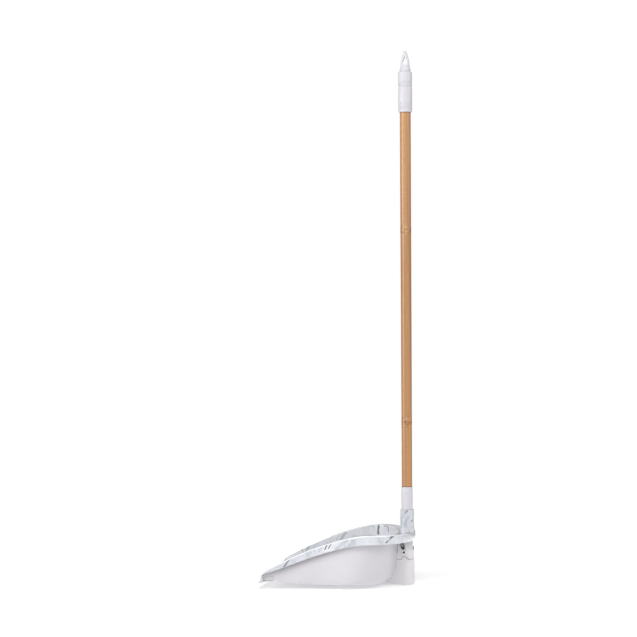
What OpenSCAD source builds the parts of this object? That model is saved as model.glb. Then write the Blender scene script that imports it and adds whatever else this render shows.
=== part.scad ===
// Long-handled dust pan with a marble-print rim, a bamboo pole and a spring hinge.
// Millimetres. +Z up, the mouth towards -X, the pole at the back (+X), symmetric about Y = 0.

/* [Pan] */
// length from the lip's tip to the back of the rim
pan_l = 258; // [248:1:268]
// width across the rim
pan_w = 247; // [235:1:255]
// rim height at its highest point, towards the back
rim_peak_h = 93; // [92:0.1:94]
// rim height at the mouth
rim_mouth_h = 29.1; // [27:0.1:32]
// thickness of the scoop's walls and floor
wall = 2.2; // [1.8:0.1:2.6]
// how far the floor's sides stand above its middle
crown = 6.9; // [5:0.1:8]

/* [Housing and hinge] */
// width of the housing behind the scoop
housing_w = 55; // [52:1:60]
// height of the seam between the bracket and the foot
seam_h = 44.2; // [43:0.1:45]
// height of the hinge pin
pin_h = 57; // [56:0.5:58]
// radius of the hinge pin
pin_r = 2; // [1.8:0.1:2.2]
// wire diameter of the springs
wire_d = 1.6; // [1.2:0.1:1.8]

/* [Pole] */
// overall height, to the top of the hanging loop
total_h = 927; // [880:1:1000]
// radius of the cane at its foot
cane_r_low = 8.95; // [8.6:0.05:9.1]
// radius of the cane at its top
cane_r_high = 9.6; // [9.2:0.05:9.8]
// radius of the grip
grip_r = 12.25; // [11.8:0.05:13]
// length of the grip
grip_l = 70; // [66:1:90]
// radius of the socket
socket_r = 11.6; // [11.4:0.1:11.8]
// how much of the ferrule shows
ferrule_l = 39; // [32:1:44]

/* [Hidden] */
$fn = 48;
gap = 0.3; // between separate pieces

// the scoop's outline, in plan
x_tip = -pan_l / 2;
x_back = pan_l / 2;
x_mouth = x_tip + 8;
x_bend = x_back - 108; // where the straight sides start to curve in
x_shell_back = x_back - 25;
outline_power = 2.5; // of the superellipse that closes the outline
shell_inset = 6; // from the rim's outer face to the scoop's

// the rim
x_peak = 60; // behind it the rim stays level, then drops to its back
rim_power = 1.55; // of the curve from the mouth up to the peak
rim_back_drop = 3; // from the peak to the rim's back
skirt_mouth = 2.6; // height of the rim's outer skirt at the mouth
skirt_back = 16;
rim_plate = 2.2;
deck_drop = 4.1; // from the rim's edge down to the deck round the socket

// the scoop's floor
floor_mouth_h = 15.2; // underside of the flange that carries the lip
x_flange = x_mouth + 20;
belly_x = 16;
belly_rise = 4.5;
corner_mouth = 6; // radii of the round between floor and wall
corner_side = 12;
corner_back = 34;
draft = 4;

// the hinge
collar_r = 12.4;
pole_x = x_back - collar_r;
pin_x = pole_x - 3;
housing_x0 = x_shell_back + 0.4;
housing_x1 = x_back - 1.1;
housing_wall = 2.4;
housing_round = 14;
foot_x0 = 85; // front of the foot, under the scoop
cheek = 0.8;
deck_h = rim_peak_h - 0.5 - deck_drop;
bracket_top = deck_h - rim_plate - gap;
bracket_shoulder = rim_peak_h - skirt_back - 0.3; // above it the bracket fits inside the skirt
plate_h = bracket_top - 5.8; // underside of the bracket's inner plate
slot_w = 26.4;
slot_h = 60;
neck_w = 19;
knuckle_r = 6.6;
collar_l = 8.7;
socket_top = 129;
coil_r = 5; // mean radius of the springs
coil_turns = 5.25;
coil_pitch = wire_d + 0.05;
peg = [pin_x - 3.7, pin_h + 11]; // the socket's peg that winds the spring, [x, z]
peg_r = 2;
apron_x = pole_x + 8.9;
rim_h_back = rim_peak_h - rim_back_drop;
screw_x = pin_x - 1;
screw_y = 18.6;

// the pole
ferrule_h0 = socket_top + 0.2;
cane_h0 = ferrule_h0 + ferrule_l;
hanger_l = 34.7;
grip_h1 = total_h - hanger_l - gap;
cane_h1 = grip_h1 - grip_l;
cane_nodes = [275, 616]; // heights of the bamboo's nodes
stem_r = 4.9;

function smooth(t) = let (c = min(1, max(0, t))) c * c * (3 - 2 * c);
function mix(a, b, t) = a + (b - a) * t;

// ---------- the outline and the heights that follow it ----------

// Half of an outline in plan, from the mouth (s = 0) to the back (s = 1), moved inwards by inset.
straight_share = 0.35;
function outline(s, half_w, x_end, inset) =
    let (
        len = x_end - x_bend,
        a = 90 * max(0, s - straight_share) / (1 - straight_share),
        u = pow(sin(a), 2 / outline_power),
        v = pow(cos(a), 2 / outline_power),
        nx = pow(u, outline_power - 1) / len,
        ny = pow(v, outline_power - 1) / half_w,
        n = norm([nx, ny]),
        x = s < straight_share ? mix(x_mouth, x_bend, s / straight_share) : x_bend + len * u
    )
    [x - inset * nx / n, half_w * v - inset * ny / n];

function rim_xy(s, inset) = outline(s, pan_w / 2, x_back, inset);
function shell_xy(s, inset) = outline(s, pan_w / 2 - shell_inset, x_shell_back, inset);

// how far along the rise from peak (0) to mouth (1) a place is
function rise_share(x) = max(0, (x_peak - x) / (x_peak - x_mouth));
function rim_z(x) =
    rim_peak_h
    - (rim_peak_h - rim_mouth_h) * pow(rise_share(x), rim_power)
    - back_drop(x);
function back_drop(x) = rim_back_drop * pow(max(0, (x - x_peak) / (x_back - x_peak)), 4);

// height of the outer skirt; its lower edge stays level where the rim drops at the back
function skirt_l(x) =
    let (f = rise_share(x))
    skirt_back - 4 * f - (skirt_back - 4 - skirt_mouth) * pow(f, 6) - back_drop(x);

// the deck sinks below the rim's edge where the rim widens towards the back
function deck_share(s) = smooth((s - 0.55) / 0.25);
function deck_z(s) =
    let (edge = rim_z(rim_xy(s, 0)[0]))
    mix(edge, min(edge, deck_h), deck_share(s));

// underside of the scoop's floor
function floor_z(x, y) =
    let (
        side = pan_w / 2 - shell_inset - draft - corner_side,
        lift = crown * smooth((x - x_flange) / 60),
        edge = crown + belly_rise * pow((x - belly_x) / 116, 2)
    )
    mix(floor_mouth_h, edge - lift + lift * pow(y / side, 2), smooth((x - x_flange) / 2.5));

// ---------- lofts ----------

// faces between closed loops of m points each, one after the other
function loft_faces(loops, m) = [
    for (i = [0:loops - 2], j = [0:m - 1])
        let (a = i * m + j, b = i * m + (j + 1) % m, c = a + m, d = b + m)
        each [[a, d, b], [a, c, d]]
];

// ---------- scoop ----------

arc_steps = 6;
floor_steps = 12;
wall_points = arc_steps + 3;
row_points = 2 * wall_points + floor_steps - 1;
rows_s = [
    for (x = [x_mouth, x_flange, x_flange + 2.5]) straight_share * (x - x_mouth) / (x_bend - x_mouth),
    for (i = [2:10]) straight_share * i / 10,
    for (i = [1:23]) mix(straight_share, 1, i / 24)
];

function corner_r(s) =
    let (x = shell_xy(s, 0)[0], turn = max(0, s - straight_share) / (1 - straight_share))
    mix(corner_mouth, corner_side, smooth((x - x_mouth) / 60))
    + (corner_back - corner_side) * pow(sin(90 * turn), 2);

// one side of a cross-section, from the rim down to the floor's edge; deep = 0 outside, wall inside
function wall_column(s, side, deep) =
    let (
        r = corner_r(s),
        foot = shell_xy(s, draft + r),
        bottom = floor_z(foot[0], foot[1]),
        top = deck_z(s) - rim_plate - 3 * gap,
        knee = top - 0.3 * (top - bottom),
        upright = [for (z = [top, knee]) let (p = shell_xy(s, deep)) [p[0], side * p[1], z]]
    )
    concat(upright, [
        for (k = [0:arc_steps])
            let (
                f = 90 * k / arc_steps,
                p = shell_xy(s, draft + r - (r - deep) * cos(f))
            )
            [p[0], side * p[1], bottom + r - (r - deep) * sin(f)]
    ]);

// a whole cross-section, rim to floor to rim
function shell_row(s, deep) =
    let (
        left = wall_column(s, -1, deep),
        right = wall_column(s, 1, deep),
        edge = right[wall_points - 1]
    )
    concat(
        left,
        [
            for (q = [1:floor_steps - 1])
                let (y = edge[1] * (2 * q / floor_steps - 1))
                [edge[0], y, floor_z(edge[0], y) + deep]
        ],
        [for (k = [wall_points - 1:-1:0]) right[k]]
    );

module pan_shell() {
    n = row_points;
    loop = 2 * n;
    rows = len(rows_s);
    points = [
        for (s = rows_s)
            let (outer = shell_row(s, 0), inner = shell_row(s, wall))
            each concat(outer, [for (j = [n - 1:-1:0]) inner[j]])
    ];
    mouth = [
        for (j = [0:n - 2])
            let (a = j, b = j + 1, c = loop - 2 - j, d = loop - 1 - j)
            each [[a, b, c], [a, c, d]]
    ];
    // the back closes the last row: outside face, inside face and the top between them
    e = (rows - 1) * loop;
    w = wall_points;
    back_outer = [
        for (k = [0:w - 3])
            let (a = e + k, b = a + 1, c = e + n - 2 - k, d = c + 1)
            each [[a, c, b], [a, d, c]]
    ];
    back_outer_foot = [for (j = [w - 1:n - w]) [e + w - 2, e + j + 1, e + j]];
    back_inner = [
        for (k = [0:w - 3])
            let (a = e + loop - 1 - k, b = a - 1, c = e + n + 1 + k, d = c - 1)
            each [[a, b, c], [a, c, d]]
    ];
    back_inner_foot = [
        for (j = [w - 1:n - w])
            [e + loop - 1 - (w - 2), e + loop - 1 - j, e + loop - 2 - j]
    ];
    back_top = [[e, e + loop - 1, e + n], [e, e + n, e + n - 1]];
    color([0.90, 0.90, 0.92])
        polyhedron(
            points,
            concat(
                loft_faces(rows, loop), mouth, back_outer, back_outer_foot,
                back_inner, back_inner_foot, back_top
            )
        );
}

// ---------- rim ----------

rim_wall = 2;
rim_s = concat(
    [for (i = [0:10]) straight_share * i / 10],
    [for (i = [1:24]) mix(straight_share, 1, i / 24)]
);

function rim_point(xy, side, z) = [xy[0], side * xy[1], z];

// the rim's cross-section: an upside-down channel whose web becomes the deck at the back
function rim_loop(s, side) =
    let (
        edge = rim_z(rim_xy(s, 0)[0]),
        deck = deck_z(s),
        h = skirt_l(rim_xy(s, 0)[0]),
        low_in = deck - mix(1.1, 1.35, smooth((rim_xy(s, 0)[0] - x_mouth) / 80)) * h,
        web = deck - rim_plate
    )
    [
        rim_point(rim_xy(s, 0), side, edge - h),
        rim_point(rim_xy(s, 0), side, edge - 1),
        rim_point(rim_xy(s, 1), side, edge),
        rim_point(rim_xy(s, 2.4), side, edge),
        rim_point(rim_xy(s, 3), side, deck),
        rim_point(shell_xy(s, 3.4), side, deck),
        rim_point(shell_xy(s, 4.4), side, deck - 1),
        rim_point(shell_xy(s, 4.4), side, low_in),
        rim_point(shell_xy(s, wall + 0.6), side, low_in),
        rim_point(shell_xy(s, wall + 0.6), side, web),
        rim_point(rim_xy(s, rim_wall), side, web),
        rim_point(rim_xy(s, rim_wall), side, edge - h)
    ];

module rim_channel() {
    m = 12;
    half = len(rim_s);
    loops = concat(
        [for (s = rim_s) rim_loop(s, 1)],
        [for (i = [half - 2:-1:0]) rim_loop(rim_s[i], -1)]
    );
    count = len(loops);
    cap = [[0, 1, 10], [0, 10, 11], [1, 2, 3], [1, 3, 10], [3, 4, 10], [4, 5, 9], [4, 9, 10],
           [5, 6, 9], [6, 7, 8], [6, 8, 9]];
    far = (count - 1) * m;
    polyhedron(
        [for (l = loops) each l],
        concat(
            loft_faces(count, m),
            cap,
            [for (f = cap) [far + f[0], far + f[2], far + f[1]]]
        )
    );
}

// the way the handle's neck takes through deck and bracket; the slot's sill is at slot_h
module neck_way(h0, h1) {
    translate([housing_x0 + housing_wall, -neck_w / 2 - 0.7, h0])
        cube([pin_x - housing_x0, neck_w + 1.4, h1 - h0]);
    translate([pin_x - 1, -slot_w / 2, slot_h])
        cube([30, slot_w, h1 - slot_h]);
}

module rim_frame() {
    color([0.80, 0.82, 0.86])
        difference() {
            union() {
                rim_channel();
                for (y = [-screw_y, screw_y])
                    translate([screw_x, y, bracket_top - 3.2])
                        cylinder(r = 3.2, h = 4.6);
            }
            neck_way(60, 110);
            for (y = [-screw_y, screw_y])
                translate([screw_x, y, bracket_top - 4])
                    cylinder(r = 1.55, h = 5.2);
        }
}

// ---------- lip ----------

module front_lip() {
    under = floor_mouth_h - 0.3;
    over = floor_mouth_h + wall + 0.3;
    cap_top = rim_mouth_h - skirt_mouth - 0.4;
    grip_half = pan_w / 2 - shell_inset - draft - corner_mouth - 0.5;
    nose_half = pan_w / 2 - 7;
    color([0.86, 0.86, 0.88])
        union() {
            // the part that grips the flange from both sides
            translate([0, grip_half, 0])
                rotate([90, 0, 0])
                    linear_extrude(height = 2 * grip_half)
                        polygon([
                            [x_mouth - 1.2, 12], [x_flange - 1.2, 14.0], [x_flange - 1.2, under],
                            [x_mouth - 0.4, under], [x_mouth - 0.4, over], [x_mouth + 8, over],
                            [x_mouth + 7, over + 0.9], [x_mouth - 0.6, over + 1.2],
                            [x_mouth - 1.2, 16.6]
                        ]);
            // the nose, across the whole mouth
            translate([0, nose_half, 0])
                rotate([90, 0, 0])
                    linear_extrude(height = 2 * nose_half)
                        polygon([
                            [x_tip, 11], [x_tip + 0.9, 10.9], [x_mouth - 0.4, 11.4],
                            [x_mouth - 0.4, over + 1.2], [x_mouth - 0.6, over + 1.2],
                            [x_mouth - 1.2, 16.6], [x_mouth - 2, 14.2], [x_mouth - 3.6, 12.6]
                        ]);
            // caps over the ends of the scoop's side walls, up to the rim
            for (y = [-nose_half, nose_half - 6])
                translate([0, y + 6, 0])
                    rotate([90, 0, 0])
                        linear_extrude(height = 6)
                            polygon([
                                [x_mouth - 0.4, 11.4], [x_mouth - 0.4, cap_top],
                                [x_mouth - 1.6, cap_top - 0.3], [x_mouth - 2.4, cap_top - 2],
                                [x_mouth - 2.7, 15], [x_mouth - 3.6, 12.6]
                            ]);
        }
}

// ---------- housing ----------

// plan outline of the housing from x0 back, moved inwards by inset
module housing_plan(x0, inset) {
    h = housing_w / 2 - inset;
    r = housing_round - inset;
    x1 = housing_x1 - inset;
    intersection() {
        translate([x0, -h])
            square([x1 - x0, 2 * h]);
        union() {
            translate([x0, -h])
                square([x1 - r - x0, 2 * h]);
            translate([x1 - r - 1, -(h - r)])
                square([r + 1, 2 * (h - r)]);
            for (y = [-(h - r), h - r])
                translate([x1 - r, y])
                    circle(r = r);
        }
    }
}

// the snap tab on the foot's sides and, grown by the gap, its notch in the bracket
module snap_tab(grow) {
    for (y = [-housing_w / 2, housing_w / 2 - housing_wall])
        translate([0, y + housing_wall, 0])
            rotate([90, 0, 0])
                linear_extrude(height = housing_wall)
                    polygon([
                        [pin_x - 4.5 - grow, seam_h - 1], [pin_x + 8.5 + grow, seam_h - 1],
                        [pin_x + 8.5 + grow, seam_h], [pin_x + 3 + grow, seam_h + 5 + grow],
                        [pin_x - 3 - grow, seam_h + 5 + grow], [pin_x - 4.5 - grow, seam_h]
                    ]);
}

// a slanted slot in the housing's sides, along the spring's leg
module spring_window() {
    for (t = [0, 1])
        translate([peg[0] + 0.4 + 1.6 * t, 0, peg[1] + 2.2 - 5.2 * t])
            rotate([90, 0, 0])
                cylinder(r = 3.4, h = housing_w + 2, center = true);
    translate([peg[0] + 1.2, 0, peg[1] - 0.4])
        rotate([0, atan2(-1.6, 5.2), 0])
            cube([6.8, housing_w + 2, norm([1.6, 5.2])], center = true);
}

// where the scoop's back wall leans in, seen from the side: arc_x and arc_h are the centre of the
// round between wall and floor
arc_x = x_shell_back - draft - corner_back;
arc_h = floor_z(arc_x, 0) + corner_back;
knee_h = mix(floor_z(arc_x, 0), deck_h - rim_plate - 3 * gap, 0.7);

// front of the housing at height z
function front_x(z) = housing_x0 - draft * min(1, max(0, (knee_h - z) / (knee_h - arc_h)));

// the thin edges of the housing's sides reach further forward, where the scoop curves away
module cheeks(ahead) {
    for (y = [-housing_w / 2, housing_w / 2 - housing_wall])
        translate([-ahead, y + housing_wall, 0])
            rotate([90, 0, 0])
                linear_extrude(height = housing_wall)
                    children();
}

// side view of the bracket in front of its walls, between the seam and the shoulder
module bracket_front() {
    low = seam_h + gap;
    polygon([
        [housing_x0 + 2, low], [housing_x0 + 2, bracket_shoulder],
        [front_x(bracket_shoulder), bracket_shoulder], [front_x(knee_h), knee_h],
        [front_x(low), low]
    ]);
}

module hinge_bracket() {
    color([0.88, 0.88, 0.90])
        difference() {
            union() {
                difference() {
                    union() {
                        translate([0, 0, seam_h + gap])
                            linear_extrude(height = bracket_shoulder - seam_h - gap)
                                housing_plan(housing_x0, 0);
                        translate([0, housing_w / 2, 0])
                            rotate([90, 0, 0])
                                linear_extrude(height = housing_w)
                                    bracket_front();
                        cheeks(cheek)
                            bracket_front();
                        translate([0, 0, bracket_shoulder])
                            linear_extrude(height = bracket_top - bracket_shoulder)
                                housing_plan(housing_x0, 2.9);
                    }
                    // below and above the inner plate
                    translate([0, 0, seam_h - 1])
                        linear_extrude(height = plate_h - seam_h + 1)
                            housing_plan(housing_x0 + housing_wall, housing_wall + 2.2);
                    translate([0, 0, seam_h - 1])
                        linear_extrude(height = bracket_shoulder - housing_wall - seam_h + 1)
                            housing_plan(housing_x0 + housing_wall, housing_wall);
                    translate([0, 0, plate_h + housing_wall])
                        linear_extrude(height = 10)
                            housing_plan(housing_x0 + housing_wall, housing_wall + 2.9);
                    neck_way(seam_h + 4, 110);
                    spring_window();
                    snap_tab(0.35);
                }
                // round bosses that carry the pin
                for (side = [-1, 1])
                    translate([pin_x, side * (housing_w / 2 - 1.3), pin_h])
                        rotate([90, 0, 0])
                            cylinder(r = 4.6, h = 5, center = true);
            }
            translate([pin_x, 0, pin_h])
                rotate([90, 0, 0])
                    cylinder(r = pin_r + 0.02, h = housing_w + 20, center = true);
            for (y = [-screw_y, screw_y])
                translate([screw_x, y, plate_h - 1])
                    cylinder(r = 1.9, h = 5);
        }
}

// side view of the foot
module foot_side() {
    difference() {
        polygon([
            [foot_x0, 3.2], [pole_x + 1, 0], [x_back + 2, 0], [x_back + 2, seam_h],
            [front_x(seam_h), seam_h], [front_x(arc_h), arc_h], [foot_x0, arc_h]
        ]);
        translate([arc_x, arc_h])
            circle(r = corner_back + 0.4, $fn = 96);
    }
}

module rear_foot() {
    color([0.88, 0.88, 0.90])
        union() {
            difference() {
                intersection() {
                    union() {
                        translate([0, housing_w / 2, 0])
                            rotate([90, 0, 0])
                                linear_extrude(height = housing_w)
                                    foot_side();
                        cheeks(cheek)
                            foot_side();
                    }
                    linear_extrude(height = seam_h)
                        housing_plan(foot_x0 - 1, 0);
                }
                translate([0, 0, housing_wall])
                    linear_extrude(height = seam_h)
                        housing_plan(front_x(seam_h) + housing_wall, housing_wall);
                // the hollow toe under the scoop
                translate([foot_x0 + 6, -housing_w / 2 + housing_wall, 5])
                    cube([housing_x0 - foot_x0, housing_w - 2 * housing_wall, 3]);
            }
            snap_tab(0);
        }
}

module bracket_screws() {
    head_h = 2.2;
    color([0.72, 0.73, 0.75])
        for (y = [-screw_y, screw_y])
            translate([screw_x, y, plate_h - 0.1])
                difference() {
                    union() {
                        translate([0, 0, -head_h])
                            cylinder(r1 = 2.6, r2 = 3.3, h = head_h);
                        translate([0, 0, -0.2])
                            cylinder(r = 1.5, h = 6.6);
                    }
                    for (a = [0, 90])
                        rotate([0, 0, a])
                            translate([0, 0, -head_h])
                                cube([3.6, 0.7, 2], center = true);
                }
}

// ---------- hinge parts ----------

module hinge_pin() {
    color([0.66, 0.67, 0.69])
        translate([pin_x, 0, pin_h])
            rotate([90, 0, 0])
                union() {
                    cylinder(r = pin_r, h = housing_w + 5, center = true);
                    for (side = [-1, 1])
                        translate([0, 0, side * (housing_w / 2 + 2.5) - (side < 0 ? 0.4 : 0)])
                            cylinder(
                                r1 = side < 0 ? pin_r - 0.4 : pin_r,
                                r2 = side < 0 ? pin_r : pin_r - 0.4,
                                h = 0.4
                            );
                }
}

module pin_retainers() {
    color([0.74, 0.75, 0.77])
        for (side = [-1, 1])
            translate([pin_x, side * (housing_w / 2 + 1.9), pin_h])
                rotate([90, 0, 0])
                    difference() {
                        union() {
                            cylinder(r = 3.7, h = 0.7, center = true);
                            cylinder(r = 2.9, h = 1.1, center = true);
                        }
                        cylinder(r = pin_r + 0.03, h = 4, center = true);
                        for (a = [0, 90])
                            rotate([0, 0, a])
                                cube([5, 0.6, 4], center = true);
                    }
}

module spring_bushes() {
    inner = neck_w / 2 + 0.3;
    outer = housing_w / 2 - 4.1;
    color([0.25, 0.26, 0.28])
        for (side = [-1, 1])
            translate([pin_x, side * outer, pin_h])
                rotate([side * 90, 0, 0])
                    difference() {
                        union() {
                            cylinder(r = 3.7, h = outer - inner);
                            cylinder(r = 6, h = 0.7);
                        }
                        translate([0, 0, -1])
                            cylinder(r = pin_r + 0.06, h = outer - inner + 2);
                    }
}

// A torsion spring: the fixed leg rests on the bracket's front wall, the coil goes round the bush,
// and the free leg leans on the socket's peg from behind. side = 1 is the left spring (+Y).
module spring(side) {
    sides = 10;
    r = wire_d / 2;
    y_start = housing_w / 2 - housing_wall - 2.6 - r;
    // the free leg leaves the coil along a tangent that passes just behind the peg
    to_peg = peg - [pin_x, pin_h];
    a_peg = acos((coil_r - peg_r - r - 0.12) / norm(to_peg));
    a_free = atan2(to_peg[1], to_peg[0]) - a_peg;
    turns_deg = 360 * coil_turns;
    a_fixed = a_free - turns_deg;
    function coil(a, y) = [pin_x + coil_r * cos(a), y, pin_h + coil_r * sin(a)];
    function tangent(a) = [-sin(a), 0, cos(a)];
    steps = 84;
    coil_path = [
        for (i = [0:steps])
            let (f = i / steps)
            coil(a_fixed + turns_deg * f, side * (y_start - coil_pitch * coil_turns * f))
    ];
    first = coil_path[0];
    last = coil_path[steps];
    leg_fixed = 9;
    leg_free = norm(to_peg) * sin(a_peg) + 2.6;
    path = concat(
        [first - leg_fixed * tangent(a_fixed)],
        coil_path,
        [last + leg_free * tangent(a_free)]
    );
    count = len(path);
    points = [
        for (i = [0:count - 1])
            let (
                d = path[min(i + 1, count - 1)] - path[max(i - 1, 0)],
                t = d / norm(d),
                n = cross(t, [0, 1, 0]),
                u = n / norm(n),
                v = cross(t, u)
            )
            for (k = [0:sides - 1])
                path[i] + r * (cos(360 * k / sides) * u + sin(360 * k / sides) * v)
    ];
    color([0.45, 0.46, 0.48])
        polyhedron(
            points,
            concat(
                loft_faces(count, sides),
                [[for (k = [0:sides - 1]) k]],
                [[for (k = [sides - 1:-1:0]) (count - 1) * sides + k]]
            )
        );
}

module spring_left() {
    spring(1);
}

module spring_right() {
    spring(-1);
}

// ---------- pole ----------

module socket() {
    collar_h0 = deck_h + gap;
    collar_h1 = collar_h0 + collar_l;
    color([0.79, 0.82, 0.86])
        difference() {
            union() {
                translate([pole_x, 0, collar_h1 - 0.5])
                    cylinder(r = socket_r, h = socket_top - collar_h1 + 0.5);
                translate([pole_x, 0, collar_h0])
                    cylinder(r = collar_r, h = collar_l);
                // neck and knuckle
                translate([0, neck_w / 2, 0])
                    rotate([90, 0, 0])
                        linear_extrude(height = neck_w)
                            union() {
                                polygon([
                                    [pin_x - 6.4, pin_h], [pin_x + 4, pin_h],
                                    [pin_x + 4, pin_h + 5], [pole_x + 3.4, pin_h + 12],
                                    [pole_x + 9.4, pin_h + 20], [pole_x + 9.4, collar_h0 + 1],
                                    [pin_x - 6.4, collar_h0 + 1]
                                ]);
                                translate([pin_x, pin_h])
                                    circle(r = knuckle_r);
                            }
                // apron that closes the slot behind the neck, flush with housing and rim
                translate([apron_x, -slot_w / 2 + 0.6, pin_h + 9])
                    cube([housing_x1 - 0.2 - apron_x, slot_w - 1.2, collar_h0 - pin_h - 8]);
                translate([apron_x, -slot_w / 2 + 0.6, bracket_shoulder + 0.6])
                    cube([x_back - 0.3 - apron_x, slot_w - 1.2, rim_h_back - bracket_shoulder - 1]);
                // pegs that the springs lean on
                translate([peg[0], 0, peg[1]])
                    rotate([90, 0, 0])
                        cylinder(r = peg_r, h = housing_w - 2 * housing_wall - 10, center = true);
            }
            translate([pin_x, 0, pin_h])
                rotate([90, 0, 0])
                    cylinder(r = pin_r + 0.06, h = neck_w + 2, center = true);
            // threaded bore for the ferrule, and a lightening bore in the neck
            translate([pole_x, 0, socket_top - 34])
                cylinder(r = 8.5, h = 40);
            translate([pole_x, 0, pin_h + 18])
                cylinder(r = 5, h = 30);
        }
}

module ferrule() {
    color([0.90, 0.90, 0.92])
        translate([pole_x, 0, 0])
            difference() {
                union() {
                    translate([0, 0, ferrule_h0])
                        cylinder(r = 9.75, h = ferrule_l);
                    translate([0, 0, socket_top - 30])
                        cylinder(r = 7.4, h = 31);
                    // thread, as rings
                    for (i = [0:6])
                        translate([0, 0, socket_top - 28 + 3.5 * i])
                            cylinder(r1 = 7.3, r2 = 8.2, h = 1);
                    for (i = [0:6])
                        translate([0, 0, socket_top - 27 + 3.5 * i])
                            cylinder(r1 = 8.2, r2 = 7.3, h = 1);
                }
                translate([0, 0, ferrule_h0 + 4])
                    cylinder(r = 8.3, h = ferrule_l);
                translate([0, 0, socket_top - 31])
                    cylinder(r = 4.5, h = 40);
                // the nail's hole
                translate([0, 0, cane_h0 - 10])
                    rotate([90, 0, 0])
                        cylinder(r = 0.95, h = 30, center = true);
            }
}

module ferrule_nail() {
    color([0.70, 0.71, 0.73])
        translate([pole_x, 9.7, cane_h0 - 10])
            rotate([90, 0, 0])
                cylinder(r = 0.9, h = 19.4);
}

module cane() {
    low = ferrule_h0 + 4.3;
    high = cane_h1 + 50;
    function cane_r(z) = mix(cane_r_low, cane_r_high, (z - cane_h0) / (cane_h1 - cane_h0));
    bulge = 0.35;
    color([0.76, 0.58, 0.41])
        translate([pole_x, 0, 0])
            difference() {
                rotate_extrude()
                    polygon(concat(
                        [[0, low], [8.15, low], [8.15, cane_h0 + 0.2], [cane_r_low, cane_h0 + 0.2]],
                        [
                            for (n = cane_nodes)
                                each [
                                    [cane_r(n), n - 7], [cane_r(n) + bulge * 0.5, n - 2.5],
                                    [cane_r(n) + bulge, n - 1], [cane_r(n) - 0.1, n],
                                    [cane_r(n) + bulge, n + 1.4], [cane_r(n), n + 5]
                                ]
                        ],
                        [[cane_r_high, cane_h1 - 0.2], [8.6, cane_h1 - 0.2], [8.6, high], [0, high]]
                    ));
                // the culm's hollow, narrow where a node closes it
                rotate_extrude()
                    polygon(concat(
                        [[0, low - 1], [4.6, low - 1]],
                        [
                            for (n = cane_nodes)
                                each [[4.6, n - 6], [1.2, n - 2], [1.2, n + 2], [4.6, n + 6]]
                        ],
                        [[4.6, high + 1], [0, high + 1]]
                    ));
                translate([0, 0, cane_h0 - 10])
                    rotate([90, 0, 0])
                        cylinder(r = 0.95, h = 30, center = true);
            }
}

module grip() {
    top_wall = 8;
    rib_groups = [[grip_l * 0.07, 6], [grip_l * 0.62, 6]];
    color([0.91, 0.91, 0.93])
        translate([pole_x, 0, 0])
            difference() {
                rotate_extrude()
                    polygon([
                        [0, cane_h1], [grip_r - 0.6, cane_h1], [grip_r, cane_h1 + 1.2],
                        [grip_r - 0.1, grip_h1 - 1.2], [grip_r - 1.1, grip_h1], [0, grip_h1]
                    ]);
                // ribbed zones
                for (g = rib_groups, i = [0:g[1] - 1])
                    translate([0, 0, cane_h1 + g[0] + 2 * i])
                        difference() {
                            cylinder(r = grip_r + 1, h = 0.7);
                            translate([0, 0, -1])
                                cylinder(r = grip_r - 0.5, h = 3);
                        }
                translate([0, 0, cane_h1 - 1])
                    cylinder(r = 8.7, h = grip_l - top_wall + 1);
                translate([0, 0, grip_h1 - 20])
                    cylinder(r = stem_r + 0.05, h = 30);
            }
}

// ---------- hanging loop ----------

hole_z = 14.6; // centre of the hole's round part above the loop's base
hole_r = 4.4;

module hanger_face() {
    tip_r = 3.4;
    difference() {
        union() {
            polygon([
                [-9.9, 0], [9.9, 0], [9.45, 6], [9.3, 13], [8.3, 19], [6.4, 24.5], [tip_r, hanger_l - 3],
                [-tip_r, hanger_l - 3], [-6.4, 24.5], [-8.3, 19], [-9.3, 13], [-9.45, 6]
            ]);
            translate([0, hanger_l - tip_r])
                circle(r = tip_r);
        }
        translate([0, hole_z])
            circle(r = hole_r);
        polygon([[-hole_r * 0.86, hole_z + 2.25], [hole_r * 0.86, hole_z + 2.25], [0.5, 24], [-0.5, 24]]);
    }
}

module hanger() {
    base = grip_h1 + gap;
    color([0.91, 0.91, 0.93])
        translate([pole_x, 0, base])
            difference() {
                union() {
                    intersection() {
                        translate([0, 12, 0])
                            rotate([90, 0, 0])
                                linear_extrude(height = 24)
                                    hanger_face();
                        // round at the base, flatter at the top
                        rotate([90, 0, 90])
                            linear_extrude(height = 24, center = true)
                                polygon([
                                    [-9.9, 0], [9.9, 0], [9.4, 3], [6, 10], [4.6, 18], [3.6, hanger_l + 1],
                                    [-3.6, hanger_l + 1], [-4.6, 18], [-6, 10], [-9.4, 3]
                                ]);
                        cylinder(r = 9.9, h = hanger_l + 1);
                    }
                    translate([0, 0, -8.6])
                        cylinder(r = stem_r, h = 9);
                }
                translate([0, 0, -9])
                    cylinder(r = 1.6, h = 10);
            }
}

module hanger_screw() {
    head = grip_h1 - 8 - gap;
    color([0.72, 0.73, 0.75])
        translate([pole_x, 0, head])
            difference() {
                union() {
                    translate([0, 0, -2.4])
                        cylinder(r = 6.6, h = 2.4);
                    translate([0, 0, -0.2])
                        cylinder(r = 1.55, h = 8);
                }
                for (a = [0, 90])
                    rotate([0, 0, a])
                        translate([0, 0, -2.4])
                            cube([5, 0.8, 2], center = true);
            }
}

pan_shell();
rim_frame();
front_lip();
hinge_bracket();
rear_foot();
bracket_screws();
hinge_pin();
pin_retainers();
spring_bushes();
spring_left();
spring_right();
socket();
ferrule();
ferrule_nail();
cane();
grip();
hanger();
hanger_screw();
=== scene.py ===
"""Visual model of the long-handled dust pan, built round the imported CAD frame.

Shapes are worked out in millimetres and written in metres. The mouth points to -X, the pole
stands at +X, and the pan is symmetric about Y = 0.
"""

import math

import bmesh
import bpy
from mathutils import Matrix, Vector


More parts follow.
